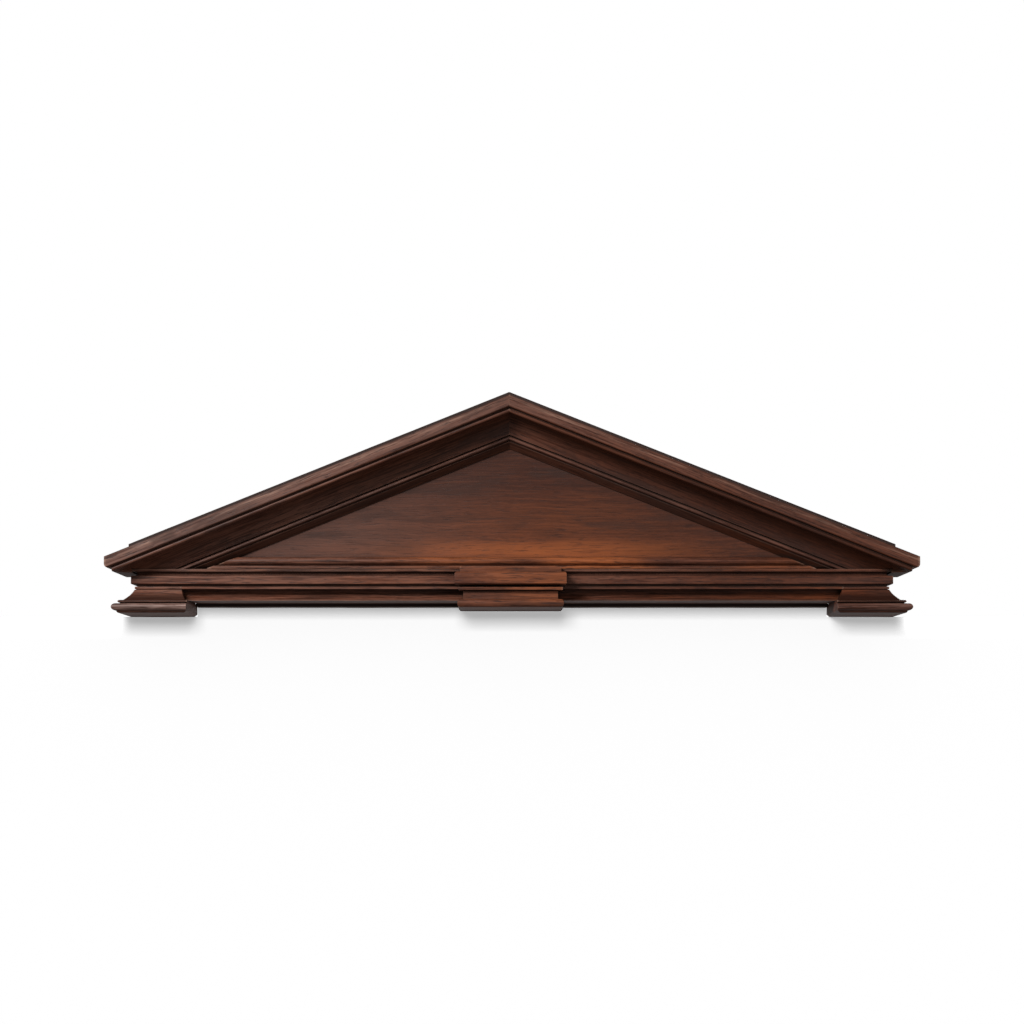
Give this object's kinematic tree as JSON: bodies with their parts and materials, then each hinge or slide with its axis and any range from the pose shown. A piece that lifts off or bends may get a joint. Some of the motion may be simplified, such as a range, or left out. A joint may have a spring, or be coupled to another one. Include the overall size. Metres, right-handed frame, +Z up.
{
  "type": "classical pediment",
  "caption": "Closed triangular wooden pediment with moulded raking cornice, base board, centre tablet and moulded feet, to crown a doorway or cabinet.",
  "frame": {"origin": "on the plane under the two feet, midway between the tips and midway between the wall face and the crown's front face", "axes": "+Z up, +X along the length, -Y towards the viewer of the carved front, +Y into the wall"},
  "size_m": [1.19, 0.128, 0.3251],
  "materials": {
    "polished_mouldings": "dark reddish-brown french-polished mahogany, semi-gloss, worn arrises and dirt in the quirks",
    "polished_panel": "figured mahogany panel with horizontal grain and an orange-brown patch low in the middle, semi-gloss",
    "raw_backs": "unpolished dusty mahogany on the sides that are not seen"
  },
  "bodies": {
    "root": {"base_board": "polished_mouldings", "back_rail": "raw_backs", "tympanum_panel": "polished_panel", "bed_mould": "polished_mouldings", "centre_bracket": "polished_mouldings", "centre_tablet": "polished_mouldings", "foot_right": "polished_mouldings", "foot_left": "polished_mouldings", "lower_cove_right": "polished_mouldings", "lower_cove_left": "polished_mouldings", "rake_mould_right": "polished_mouldings", "rake_mould_left": "polished_mouldings", "rake_crown_right": "polished_mouldings", "rake_crown_left": "polished_mouldings", "crown_return_right": "polished_mouldings", "crown_return_left": "polished_mouldings", "roof_board_right": "raw_backs", "roof_board_left": "raw_backs"}
  },
  "joints": []
}
